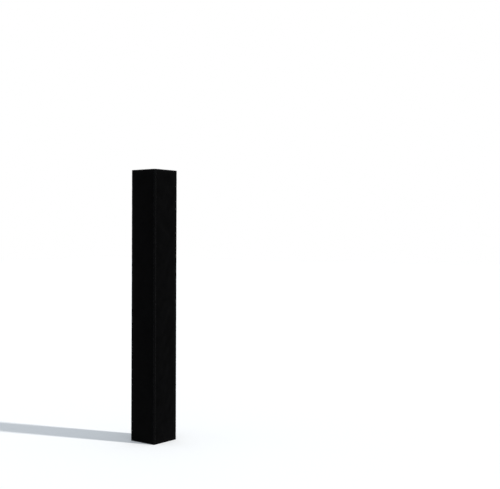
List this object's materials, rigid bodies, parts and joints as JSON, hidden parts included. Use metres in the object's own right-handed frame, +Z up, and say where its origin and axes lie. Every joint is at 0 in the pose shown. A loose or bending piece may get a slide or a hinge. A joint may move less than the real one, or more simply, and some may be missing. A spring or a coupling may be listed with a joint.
{
  "type": "basketball pole pad",
  "caption": "Tall square foam pad that wraps round a basketball goal's post, folds open at vinyl corner gussets and closes at the rear with a hook-and-loop flap.",
  "frame": {"origin": "on the post's axis, in the plane of the pad's bottom edge", "axes": "+Z up along the post; -Y is the front, the side that players meet; +Y is the rear, where the flap closes; +X is to the right of someone who faces the front"},
  "size_m": [0.306, 0.3084, 2.55],
  "materials": {
    "cover_vinyl": "vinyl-coated polyester cloth, black, fine leather grain, semi-matt",
    "gusset_vinyl": "the same vinyl, creased along the fold",
    "lining": "thin coated lining cloth, black, plain weave showing",
    "foam": "charcoal open-cell foam",
    "hook_tape": "woven nylon hook tape, black",
    "loop_tape": "napped nylon loop tape, black",
    "vent_metal": "blackened metal eyelet, satin, a little worn at the rim"
  },
  "bodies": {
    "front_panel": {"front_foam": "foam", "front_cover": "cover_vinyl", "front_lining": "lining", "front_bottom_end": "cover_vinyl", "front_top_end": "cover_vinyl", "front_left_gusset": "gusset_vinyl", "front_right_gusset": "gusset_vinyl"},
    "left_panel": {"left_foam": "foam", "left_cover": "cover_vinyl", "left_lining": "lining", "left_bottom_end": "cover_vinyl", "left_top_end": "cover_vinyl", "rear_left_gusset": "gusset_vinyl"},
    "right_panel": {"right_foam": "foam", "right_cover": "cover_vinyl", "right_lining": "lining", "right_bottom_end": "cover_vinyl", "right_top_end": "cover_vinyl", "rear_right_gusset": "gusset_vinyl"},
    "rear_left_panel": {"rear_left_foam": "foam", "rear_left_cover": "cover_vinyl", "rear_left_lining": "lining", "rear_left_bottom_end": "cover_vinyl", "rear_left_top_end": "cover_vinyl", "rear_left_lower_vent": "vent_metal", "rear_left_upper_vent": "vent_metal", "flap_hem": "cover_vinyl", "flap_fold": "gusset_vinyl"},
    "rear_right_panel": {"rear_right_foam": "foam", "rear_right_cover": "cover_vinyl", "rear_right_lining": "lining", "rear_right_bottom_end": "cover_vinyl", "rear_right_top_end": "cover_vinyl", "rear_right_lower_vent": "vent_metal", "rear_right_upper_vent": "vent_metal", "loop_tape": "loop_tape"},
    "closure_flap": {"closure_flap": "cover_vinyl", "hook_tape": "hook_tape"}
  },
  "joints": [
    {"name": "left_wing_open", "type": "hinge", "parent": "front_panel", "child": "left_panel", "pos_m": [-0.1505, -0.1505, 1.275], "axis": [0, 0, 1], "range_deg": [0, 90], "deforming": ["front_left_gusset"]},
    {"name": "right_wing_open", "type": "hinge", "parent": "front_panel", "child": "right_panel", "pos_m": [0.1505, -0.1505, 1.275], "axis": [0, 0, -1], "range_deg": [0, 90], "deforming": ["front_right_gusset"]},
    {"name": "rear_left_open", "type": "hinge", "parent": "left_panel", "child": "rear_left_panel", "pos_m": [-0.1505, 0.1505, 1.275], "axis": [0, 0, 1], "range_deg": [0, 90], "deforming": ["rear_left_gusset"]},
    {"name": "rear_right_open", "type": "hinge", "parent": "right_panel", "child": "rear_right_panel", "pos_m": [0.1505, 0.1505, 1.275], "axis": [0, 0, -1], "range_deg": [0, 90], "deforming": ["rear_right_gusset"]},
    {"name": "flap_peel", "type": "hinge", "parent": "rear_left_panel", "child": "closure_flap", "pos_m": [-0.016, 0.1512, 1.275], "axis": [0, 0, 1], "range_deg": [0, 160], "deforming": ["flap_fold"]}
  ],
  "couplings": [
    {"joint": "right_wing_open", "follows": "left_wing_open", "ratio": 1},
    {"joint": "rear_right_open", "follows": "rear_left_open", "ratio": 1}
  ]
}
